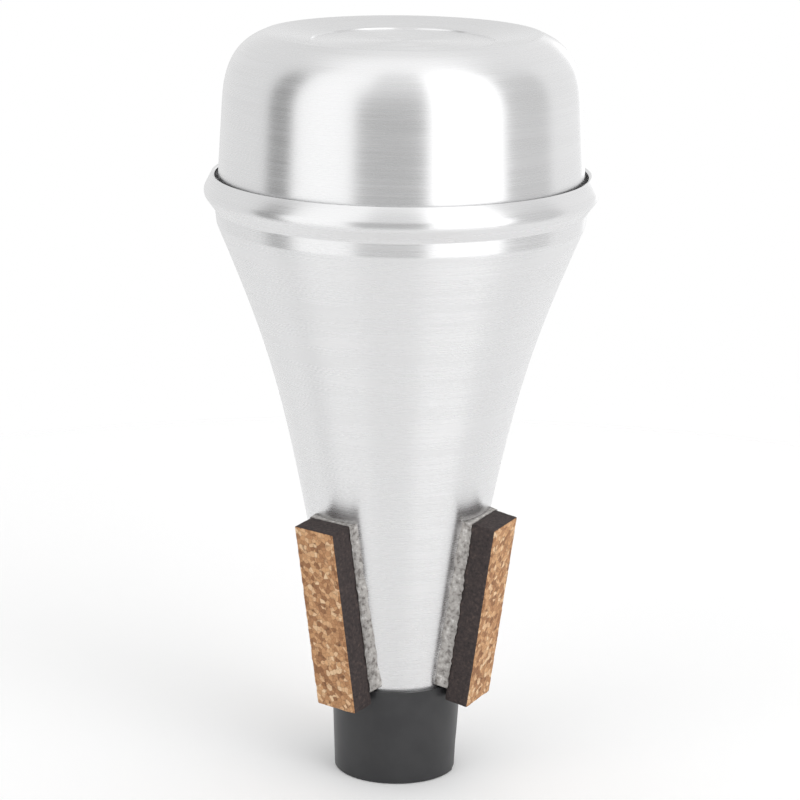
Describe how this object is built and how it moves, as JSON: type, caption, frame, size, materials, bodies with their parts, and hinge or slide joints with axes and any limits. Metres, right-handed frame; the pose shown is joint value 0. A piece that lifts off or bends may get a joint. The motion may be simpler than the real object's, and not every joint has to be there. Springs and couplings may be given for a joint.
{
  "type": "trumpet mute",
  "caption": "Straight trumpet mute: hollow spun aluminium cone with a rolled bead and domed closed end, a black sleeve round the open neck and cork strips along the flare.",
  "frame": {"origin": "centre of the open narrow end, in the plane of its rim", "axes": "+Z along the mute's axis towards the closed domed end; the first two cork strips face -Y, one to each side of it"},
  "size_m": [0.088, 0.088, 0.1709],
  "materials": {
    "spun_aluminium": "spun, fine circular brushing, satin to bright",
    "black_vinyl": "satin black film",
    "cork": "agglomerated cork, tan face and dark sawn sides",
    "adhesive": "dried greyish adhesive, glossy where squeezed out"
  },
  "bodies": {
    "root": {"body_shell": "spun_aluminium", "end_cap": "spun_aluminium", "neck_sleeve": "black_vinyl", "cork_strip_left": "cork", "cork_strip_right": "cork", "cork_strip_rear": "cork", "cork_glue_left": "adhesive", "cork_glue_right": "adhesive", "cork_glue_rear": "adhesive"}
  },
  "joints": []
}
